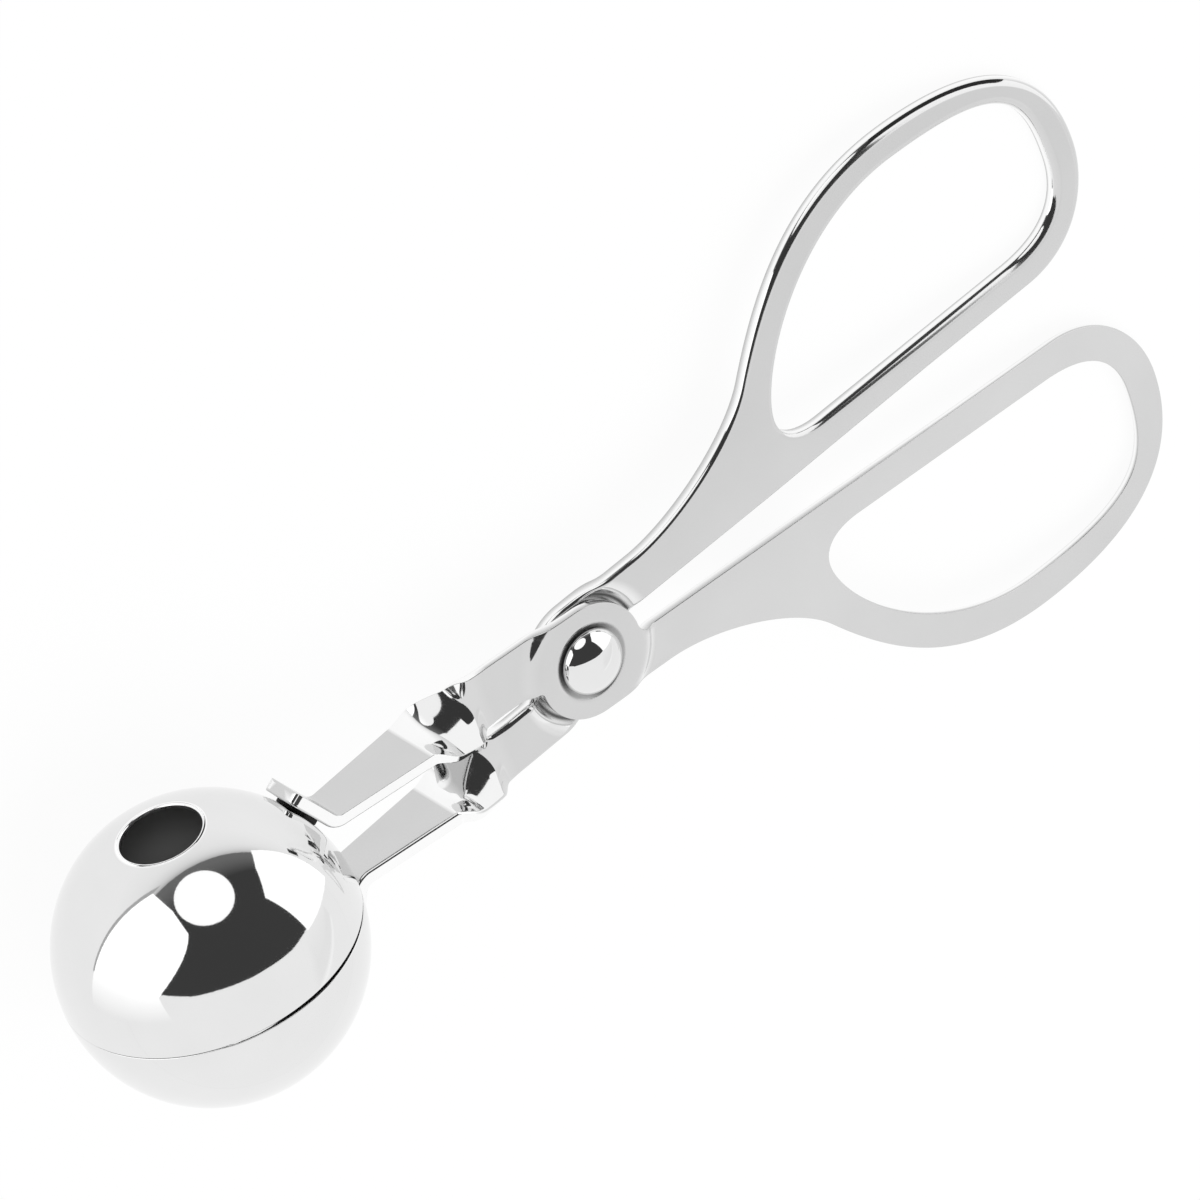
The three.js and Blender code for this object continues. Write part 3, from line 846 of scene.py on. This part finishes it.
def shade_wedge_mesh(name, rise):
    """Black wedge that fills the gap between the flange and the ball, as painted shade."""
    tilt = math.radians(FLANGE_TILT)
    outward = np.array([math.cos(tilt), math.sin(tilt), 0])
    climb = np.array([-math.sin(tilt), math.cos(tilt), 0])
    flat = FLANGE_WIDTH / 2 - STRIP_ROLL
    turns, rings = 64, 9
    high, low = [], []
    for k in range(rings + 1):
        share = k / rings
        for i in range(turns):
            a = 2 * math.pi * i / turns
            along = SHADE_WEDGE_ALONG + SHADE_WEDGE_HALF_LENGTH * share * square_off(math.cos(a))
            z = SHADE_WEDGE_HALF_WIDTH * share * square_off(math.sin(a))
            over = max(0.0, abs(z) - flat)
            rolled = STRIP_ROLL - math.sqrt(STRIP_ROLL ** 2 - over ** 2)
            top = BALL_RADIUS + SEAT_GAP + rolled - SHADE_WEDGE_BITE
            drop = math.sqrt((BALL_RADIUS + SHADE_WEDGE_BITE) ** 2 - along ** 2 - (z - rise) ** 2)
            at = np.array([-BALL_REACH, 0, z]) + climb * along
            high.append(at + outward * top)
            low.append(at + outward * drop)
    count = len(high)
    rows = np.arange(count).reshape(rings + 1, turns)
    faces = []
    for p, q in zip(rows, rows[1:]):
        faces += band(p, q)
        faces += band(q + count, p + count)
    faces += band(rows[-1], rows[-1] + count)
    bm = bmesh.new()
    made = [bm.verts.new(v) for v in [*high, *low]]
    for f in faces:
        bm.faces.new([made[i] for i in f])
    bmesh.ops.remove_doubles(bm, verts=bm.verts, dist=1e-5)
    bmesh.ops.recalc_face_normals(bm, faces=bm.faces)
    mesh = bpy.data.meshes.new(name)
    bm.to_mesh(mesh)
    bm.free()
    return mesh


def place(name, mesh, matrix, body, node):
    """Puts a finished piece in the row frame, on its body, in place of its solid if it has one."""
    mesh.transform(matrix)
    mesh.update()
    obj = bpy.data.objects.new(name, mesh)
    bpy.context.scene.collection.objects.link(obj)
    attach(obj, body)
    if node:
        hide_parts(node)
    return obj


at_ball = Matrix.Translation((-BALL_REACH, 0, BALL_RISE))
cup_up = Matrix.Rotation(-math.pi / 2, 4, "X")
front = place(
    "front_lever_skin", lever_mesh("front_lever_skin", 1), TO_ROW,
    "front_half", "front_lever",
)
back = place(
    "back_lever_skin", lever_mesh("back_lever_skin", -1), TO_ROW @ TURN_OVER,
    "back_half", "back_lever",
)
upper = place(
    "upper_cup_skin", cup_mesh("upper_cup_skin", 1), TO_ROW @ at_ball @ cup_up,
    "front_half", "upper_cup",
)
lower = place(
    "lower_cup_skin", cup_mesh("lower_cup_skin", -1), TO_ROW @ at_ball @ TURN_OVER @ cup_up,
    "back_half", "lower_cup",
)
rivet = place(
    "pivot_rivet_skin", rivet_mesh("pivot_rivet_skin"), TO_ROW,
    "front_half", "pivot_rivet",
)
# Black wedges under the flanges, painted shade in the gap where flange and ball meet
upper_shade_wedge = place(
    "upper_shade_wedge", shade_wedge_mesh("upper_shade_wedge", BALL_RISE), TO_ROW,
    "front_half", None,
)
lower_shade_wedge = place(
    "lower_shade_wedge", shade_wedge_mesh("lower_shade_wedge", -BALL_RISE), TO_ROW @ TURN_OVER,
    "back_half", None,
)


# Materials
COLOUR_A, COLOUR_B, COLOUR_OUT = 6, 7, 2        # sockets of a colour Mix node
CLOUDING = 0.035                                # how far the faint clouding goes to either side
SHADE_TONE_KEPT = 0.7                                    # share of the tone kept where the painted shade mark is 1
DULL_ROUGH = 0.25                               # and the roughness it gains
LINE_ROUGH = 0.03                               # roughness of the drawing lines
LINE_SCALE = (60.0, 5200.0, 5200.0)


def nodes_of(name):
    material = bpy.data.materials.new(name)
    material.use_nodes = True
    tree = material.node_tree
    tree.nodes.clear()
    return material, tree


def add(tree, kind, **values):
    node = tree.nodes.new(kind)
    for key, value in values.items():
        if key in node.inputs:
            node.inputs[key].default_value = value
        else:
            setattr(node, key, value)
    return node


def colour_mix(tree, share, low, high):
    """Mix of two colours, or of a node's colour with one, by a node's value."""
    node = add(tree, "ShaderNodeMix", data_type="RGBA")
    tree.links.new(share, node.inputs[0])
    for socket, colour in ((COLOUR_A, low), (COLOUR_B, high)):
        if isinstance(colour, tuple):
            node.inputs[socket].default_value = (*colour, 1)
        else:
            tree.links.new(colour, node.inputs[socket])
    return node.outputs[COLOUR_OUT]


def value_range(tree, value, low, high, clamp=True):
    """A node's value from 0 to 1 as one from low to high."""
    node = add(tree, "ShaderNodeMapRange", clamp=clamp, **{"To Min": low, "To Max": high})
    tree.links.new(value, node.inputs["Value"])
    return node.outputs[0]


def add_share(tree, value, share, base):
    """A share of one node's value on top of another's."""
    node = add(tree, "ShaderNodeMath", operation="MULTIPLY_ADD")
    tree.links.new(value, node.inputs[0])
    node.inputs[1].default_value = share
    tree.links.new(base, node.inputs[2])
    return node.outputs[0]


def steel(name, face, face_rough, bright, bright_rough, edge_tone):
    """Stainless steel: satin faces, rubbed bends, tumbled edges, fine drawing lines and faint clouding, with
    painted highlights and painted shade from the marked points.
    """
    material, tree = nodes_of(name)
    link = tree.links.new
    out = add(tree, "ShaderNodeOutputMaterial")
    shader = add(tree, "ShaderNodeBsdfPrincipled", Metallic=1.0)
    link(shader.outputs[0], out.inputs[0])
    where = add(tree, "ShaderNodeTexCoord").outputs["Object"]
    polish = add(tree, "ShaderNodeAttribute", attribute_name="polish").outputs["Fac"]
    edge = add(tree, "ShaderNodeAttribute", attribute_name="edge").outputs["Fac"]
    coined = add(tree, "ShaderNodeAttribute", attribute_name="coined").outputs["Fac"]
    cloud = add(tree, "ShaderNodeTexNoise", Scale=90.0, Detail=3.0)
    link(where, cloud.inputs["Vector"])
    stretch = add(tree, "ShaderNodeMapping", Scale=LINE_SCALE)
    link(where, stretch.inputs["Vector"])
    lines = add(tree, "ShaderNodeTexNoise", Scale=1.0, Detail=2.0)
    link(stretch.outputs[0], lines.inputs["Vector"])
    # The edge mark lifts the tone to the bright edge tone: tumbled edges and painted highlights
    tone = colour_mix(tree, edge, colour_mix(tree, polish, face, bright), edge_tone)
    # Painted shade scales the tone down and raises the roughness where it is marked
    level = add(tree, "ShaderNodeMath", operation="MULTIPLY")
    link(value_range(tree, cloud.outputs[0], 1 - CLOUDING, 1 + CLOUDING), level.inputs[0])
    link(value_range(tree, coined, 1.0, SHADE_TONE_KEPT, clamp=False), level.inputs[1])
    colour = add(tree, "ShaderNodeVectorMath", operation="SCALE")
    link(tone, colour.inputs[0])
    link(level.outputs[0], colour.inputs["Scale"])
    link(colour.outputs[0], shader.inputs["Base Color"])
    rough = value_range(tree, polish, face_rough, bright_rough)
    rough = add_share(tree, coined, DULL_ROUGH, rough)
    rough = add_share(tree, lines.outputs[0], LINE_ROUGH, rough)
    link(rough, shader.inputs["Roughness"])
    bump = add(tree, "ShaderNodeBump", Strength=0.03, Distance=0.00002)
    link(lines.outputs[0], bump.inputs["Height"])
    link(bump.outputs[0], shader.inputs["Normal"])
    return material


def shade_black(name):
    """Painted shade for the gap under the flanges: nearly black, patchy and matt."""
    material, tree = nodes_of(name)
    link = tree.links.new
    out = add(tree, "ShaderNodeOutputMaterial")
    shader = add(tree, "ShaderNodeBsdfPrincipled", Metallic=0.6)
    link(shader.outputs[0], out.inputs[0])
    where = add(tree, "ShaderNodeTexCoord").outputs["Object"]
    patch = add(tree, "ShaderNodeTexNoise", Scale=900.0, Detail=4.0)
    link(where, patch.inputs["Vector"])
    tone = colour_mix(tree, patch.outputs[0], (0.006, 0.006, 0.007), (0.03, 0.028, 0.026))
    link(tone, shader.inputs["Base Color"])
    link(value_range(tree, patch.outputs[0], 0.5, 0.8), shader.inputs["Roughness"])
    bump = add(tree, "ShaderNodeBump", Strength=0.3, Distance=0.00005)
    link(patch.outputs[0], bump.inputs["Height"])
    link(bump.outputs[0], shader.inputs["Normal"])
    return material


def wear(obj, look):
    obj.data.materials.clear()
    obj.data.materials.append(look)


satin = steel("satin_steel", (0.65, 0.65, 0.65), 0.13, (0.68, 0.68, 0.68), 0.05, (0.96, 0.96, 0.96))
# On the cups the unpolished tone, 0.28, is painted shade for their insides, and the bright edge tone is a
# painted highlight on the vents' rims
mirror = steel("polished_steel", (0.28, 0.28, 0.28), 0.45, (0.80, 0.80, 0.80), 0.03, (0.97, 0.97, 0.97))
shade_wedge_look = shade_black("shade_wedge_black")
nodes = frame["nodes"]
for obj in (front, back, nodes["front_lever"], nodes["back_lever"]):
    wear(obj, satin)
for obj in (upper, lower, rivet, nodes["upper_cup"], nodes["lower_cup"], nodes["pivot_rivet"]):
    wear(obj, mirror)
for obj in (upper_shade_wedge, lower_shade_wedge):
    wear(obj, shade_wedge_look)

# Stage: sizes in millimetres, the lamp's place in degrees, and how white the floor looks
LEFT = -155
RIGHT = 200
TENT_HEIGHT = 250
ROOM_SIDE = 1500
ROOM_FRONT = 1200
ROOM_HEIGHT = 1600
FLOOR_HALF = 6000
FOOT_HEIGHT = 0.8
TABLE_HEIGHT = 0.6
FLAG_AWAY = 7.0
FLAG_HEIGHT = 8.0
FLAG_SHARE = 0.62
FLAG_STRIDE = 20
BALL_MIDDLE = Vector((-77, 0, 23))
LAMP_DISTANCE = 700
LAMP_AZIMUTH = 175
LAMP_ELEVATION = 20
LAMP_SPREAD = 20.3
LAMP_POINTS = 64
FLOOR_GLOW = 0.92


def stage_mesh(name, points, faces, material):
    """Stage piece from points in millimetres."""
    mesh = bpy.data.meshes.new(name)
    mesh.from_pydata([Vector(p) * 0.001 for p in points], [], faces)
    obj = bpy.data.objects.new(name, mesh)
    bpy.context.scene.collection.objects.link(obj)
    mesh.materials.append(material)
    return obj


def floor_material():
    """White to the eye and to reflections, with the soft shadow kept."""
    material, tree = nodes_of("floor_white")
    link = tree.links.new
    out = add(tree, "ShaderNodeOutputMaterial")
    paths = add(tree, "ShaderNodeLightPath")
    seen = add(tree, "ShaderNodeMath", operation="MAXIMUM")
    link(paths.outputs["Is Camera Ray"], seen.inputs[0])
    link(paths.outputs["Is Glossy Ray"], seen.inputs[1])
    share = add(tree, "ShaderNodeMath", operation="MULTIPLY")
    link(seen.outputs[0], share.inputs[0])
    share.inputs[1].default_value = FLOOR_GLOW
    paper = add(tree, "ShaderNodeBsdfDiffuse", Color=(0.95, 0.95, 0.95, 1))
    glow = add(tree, "ShaderNodeEmission", Strength=1.0)
    mix = add(tree, "ShaderNodeMixShader")
    link(share.outputs[0], mix.inputs[0])
    link(paper.outputs[0], mix.inputs[1])
    link(glow.outputs[0], mix.inputs[2])
    link(mix.outputs[0], out.inputs[0])
    return material


def card_material(name, level):
    """Even card, or one whose level is marked on its points."""
    material, tree = nodes_of(name)
    out = add(tree, "ShaderNodeOutputMaterial")
    glow = add(tree, "ShaderNodeEmission", Strength=1.0)
    if level is None:
        marked = add(tree, "ShaderNodeAttribute", attribute_name="level")
        tree.links.new(marked.outputs["Color"], glow.inputs["Color"])
    else:
        glow.inputs["Color"].default_value = (level, level, level, 1)
    tree.links.new(glow.outputs[0], out.inputs[0])
    return material


def for_reflections_only(obj):
    obj.visible_camera = False
    obj.visible_diffuse = False
    obj.visible_shadow = False
    obj.visible_transmission = False


def card(name, corners, level):
    """Flat card of one level."""
    for_reflections_only(stage_mesh(name, corners, [tuple(range(len(corners)))], card_material(name, level)))


def shaded_card(name, points, faces, levels):
    """Card whose level changes from point to point."""
    obj = stage_mesh(name, points, faces, card_material(name, None))
    obj.data.attributes.new("level", "FLOAT", "POINT").data.foreach_set("value", levels)
    for_reflections_only(obj)


def rows_of(count):
    return [(2 * i, 2 * i + 1, 2 * i + 3, 2 * i + 2) for i in range(count - 1)]


def room_card(name, start, end):
    """Dark wall of the room between two points of the floor, paler low down where the table lights it."""
    rows = ((0, 0.16), (120, 0.13), (330, 0.05), (ROOM_HEIGHT, 0.05))
    points = [(x, y, z) for z, _ in rows for x, y in (start, end)]
    shaded_card(name, points, rows_of(len(rows)), [v for _, v in rows for _ in range(2)])


# White floor
floor_corners = [(x * FLOOR_HALF, y * FLOOR_HALF, 0) for x, y in ((-1, -1), (1, -1), (1, 1), (-1, 1))]
stage_mesh("floor", floor_corners, [(0, 1, 2, 3)], floor_material())

# Small white tent round the tongs, open to a dark room on the camera's side
sweep = soft_corner((187, 155), (95, 140), (20, 70))
card("left_wall", [(LEFT, y, z) for y, z in [(20, 0), (236, 0), (240, 89), *sweep]], 1.5)
shaded_card(
    "left_glow", [(LEFT, y, z) for y, z in ((20, 0), (20, 70), (-6, 0), (-6, 80))], rows_of(2),
    [1.3, 1.3, 1.0, 1.0],
)
left_foot = ((LEFT, 20), (LEFT, 236), (-125, 236), (-141, 120), (-151, 20))
card("left_foot", [(x, y, FOOT_HEIGHT) for x, y in left_foot], 0.45)
right_foot = ((RIGHT, -24), (RIGHT, 244), (188, 244), (194, -24))
card("right_foot", [(x, y, FOOT_HEIGHT) for x, y in right_foot], 0.6)
right_wall = ((244, 0), (262, 91), (243, 243), (-2, 231), (-14, 71), (-24, 0))
card("right_wall", [(RIGHT, y, z) for y, z in right_wall], 1.33)

# Overhead card with a slanted front edge and a soft streak that the loops' flat faces reflect
top_streak = [(-900, 0.0), (-262, 0.0), (-226, 0.09), (-205, 0.0), (-190, -0.06), (-120, -0.06)]
top_columns = [(-ROOM_SIDE, 0.0), (110, 0.0), (170, 1.0), (900, 1.0)]
top_points, top_levels, top_faces = [], [], []
for x, share in top_columns:
    front_edge = 178 - 259 * (x + ROOM_SIDE) / 2400
    for y, change in [*top_streak, (front_edge, 0.0)]:
        top_points.append((x, y, TENT_HEIGHT))
        top_levels.append(1.0 + share * change)
top_count = len(top_streak) + 1
for column in range(len(top_columns) - 1):
    for row in range(top_count - 1):
        corner = column * top_count + row
        top_faces.append((corner, corner + 1, corner + top_count + 1, corner + top_count))
shaded_card("tent_top", top_points, top_faces, top_levels)

room_card("room_front", (-ROOM_SIDE, ROOM_FRONT), (ROOM_SIDE, ROOM_FRONT))
room_card("room_left", (-ROOM_SIDE, 300), (-ROOM_SIDE, ROOM_FRONT))
room_card("room_right", (ROOM_SIDE, 0), (ROOM_SIDE, ROOM_FRONT))
room_top = ((-ROOM_SIDE, 0), (ROOM_SIDE, 0), (ROOM_SIDE, ROOM_FRONT), (-ROOM_SIDE, ROOM_FRONT))
card("room_top", [(x, y, ROOM_HEIGHT) for x, y in room_top], 0.05)

# Low black flag beside the upper loop's end, which draws the dark line on its rolled edge
loop_end = loop_end_curve()[::-1]
away = np.gradient(loop_end, axis=0)
away = np.column_stack([-away[:, 1], away[:, 0]]) / np.linalg.norm(away, axis=1)[:, None]
flag_path = (loop_end + FLAG_AWAY * away)[: int(FLAG_SHARE * len(loop_end)) : FLAG_STRIDE]
flag_points = [TO_ROW @ Vector((x, y, z)) * 1000 for x, y in flag_path for z in (0.0, FLAG_HEIGHT)]
shaded_card("loop_flag", flag_points, rows_of(len(flag_path)), [0.03] * len(flag_points))

# The table falls off toward its front edge, and the room beyond is dark
fall_off = [(60, 1.0), (130, 0.93), (200, 0.8), (275, 0.64), (350, 0.45), (350.5, 0.16), (ROOM_FRONT, 0.16)]
shaded_card(
    "table_front", [(x, y, TABLE_HEIGHT) for y, _ in fall_off for x in (-ROOM_SIDE, ROOM_SIDE)],
    rows_of(len(fall_off)), [v for _, v in fall_off for _ in range(2)],
)

# Round lamp in the tent's opening, facing the ball: azimuth 180 is toward +Y and 90 toward +X
lamp_turn, lamp_rise = math.radians(LAMP_AZIMUTH), math.radians(LAMP_ELEVATION)
lamp_level_way = Vector((math.sin(lamp_turn), -math.cos(lamp_turn), 0))
lamp_way = lamp_level_way * math.cos(lamp_rise) + Vector((0, 0, math.sin(lamp_rise)))
lamp_side = lamp_way.orthogonal().normalized()
lamp_up = lamp_way.cross(lamp_side)
lamp_radius = LAMP_DISTANCE * math.tan(math.radians(LAMP_SPREAD))
lamp_at = BALL_MIDDLE + lamp_way * LAMP_DISTANCE
lamp_points = [lamp_at + lamp_side * x + lamp_up * y for x, y in circle(lamp_radius, LAMP_POINTS)]
card("round_lamp", lamp_points, 1.26)

# Light: white to the eye and to reflections, a little less on the table
world = bpy.data.worlds.new("studio")
bpy.context.scene.world = world
world.use_nodes = True
tree = world.node_tree
tree.nodes.clear()
white = add(tree, "ShaderNodeBackground", Color=(1, 1, 1, 1), Strength=1.0)
room = add(tree, "ShaderNodeBackground", Color=(1, 1, 1, 1), Strength=0.75)
paths = add(tree, "ShaderNodeLightPath")
mirrored = add(tree, "ShaderNodeMixShader")
mix = add(tree, "ShaderNodeMixShader")
out = add(tree, "ShaderNodeOutputWorld")
tree.links.new(paths.outputs["Is Glossy Ray"], mirrored.inputs[0])
tree.links.new(room.outputs[0], mirrored.inputs[1])
tree.links.new(white.outputs[0], mirrored.inputs[2])
tree.links.new(paths.outputs["Is Camera Ray"], mix.inputs[0])
tree.links.new(mirrored.outputs[0], mix.inputs[1])
tree.links.new(white.outputs[0], mix.inputs[2])
tree.links.new(mix.outputs[0], out.inputs[0])

soft_light = bpy.data.lights.new("soft_box", "AREA")
soft_light.shape = "RECTANGLE"
soft_light.size = 2.4
soft_light.size_y = 2.0
soft_light.energy = 22.0
soft_box = bpy.data.objects.new("soft_box", soft_light)
soft_box.location = (0.3, -0.8, 1.9)
soft_box.rotation_euler = (-Vector(soft_box.location)).to_track_quat("-Z", "Y").to_euler()
soft_box.visible_glossy = False
bpy.context.scene.collection.objects.link(soft_box)

# Camera, fitted to the ball's outline, seam and vent, the pivot and both loops
camera_data = bpy.data.cameras.new("camera")
camera_data.lens = 258.38
camera_data.sensor_width = 36.0
camera_data.clip_start = 0.05
camera_data.clip_end = 50.0
camera = bpy.data.objects.new("camera", camera_data)
bpy.context.scene.collection.objects.link(camera)
right = Vector((0.81167, -0.29706, 0.50294)).normalized()
behind = Vector((-0.26009, 0.58717, 0.76654)).normalized()
overhead = behind.cross(right)
camera_turn = Matrix((right, overhead, behind)).transposed().to_4x4()
camera.matrix_world = Matrix.Translation((-0.32624, 0.74405, 0.97526)) @ camera_turn
bpy.context.scene.camera = camera

bpy.context.scene.view_settings.view_transform = "Standard"
